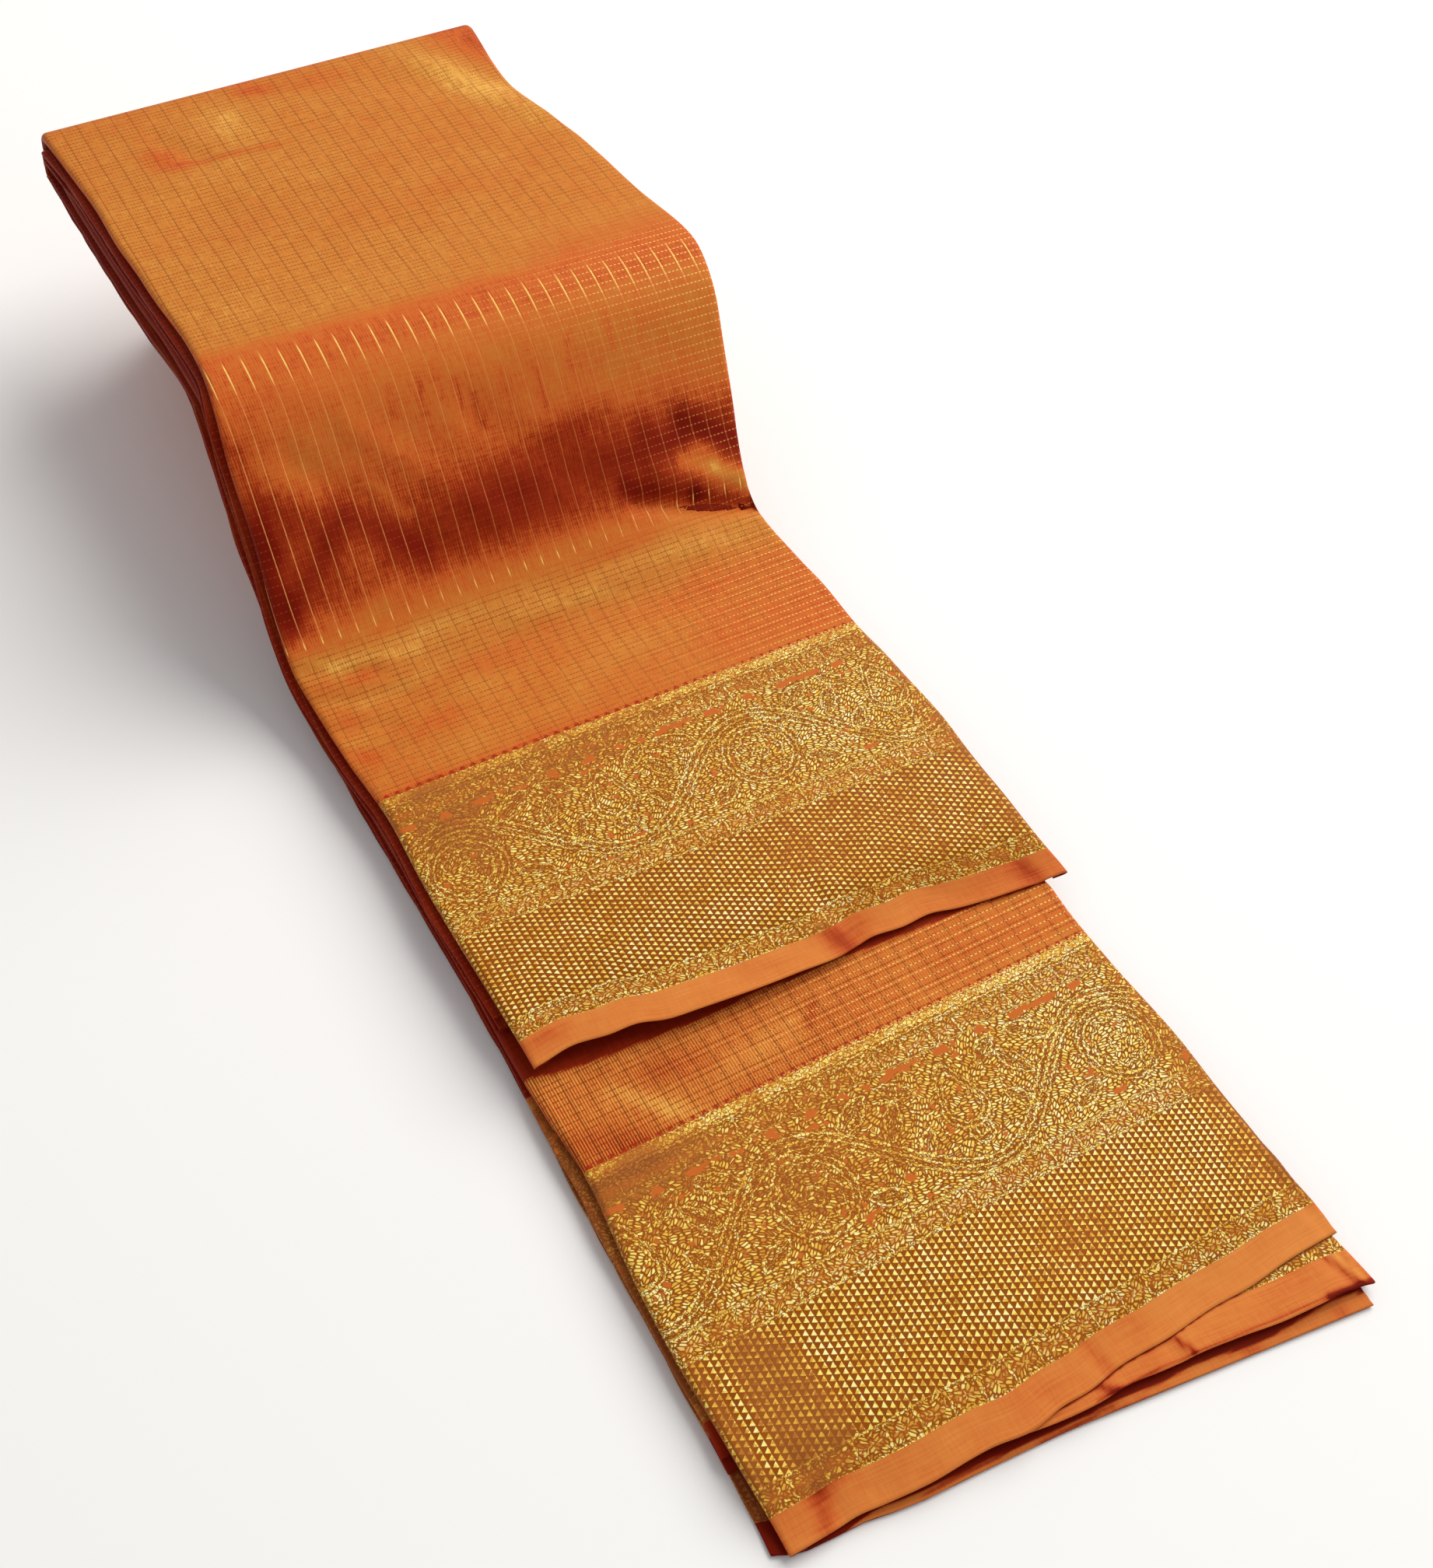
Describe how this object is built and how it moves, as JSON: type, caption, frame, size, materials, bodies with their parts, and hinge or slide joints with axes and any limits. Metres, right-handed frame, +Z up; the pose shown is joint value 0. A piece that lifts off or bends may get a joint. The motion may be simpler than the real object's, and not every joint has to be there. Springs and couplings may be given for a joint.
{
  "type": "folded sari",
  "caption": "Silk sari with gold zari borders, folded into a long strip and folded once across, with its far half raised over a step.",
  "frame": {"origin": "middle of the whole sari's footprint, on the surface that it lies on", "axes": "+Y along the strip, from the near selvedge edges to the far fold; +X across the strip, to the right when looking along +Y; +Z up"},
  "size_m": [0.2254, 0.6726, 0.1084],
  "materials": {
    "silk": "shot silk with gold checks, gold zari border and a plain orange selvedge",
    "shaded_silk": "silk fold edges"
  },
  "bodies": {
    "root": {"upper_sheet": "silk", "lower_sheet": "silk", "second_sheet": "silk", "bottom_sheet": "silk", "hidden_layers": "shaded_silk", "under_layers": "shaded_silk"}
  },
  "joints": []
}
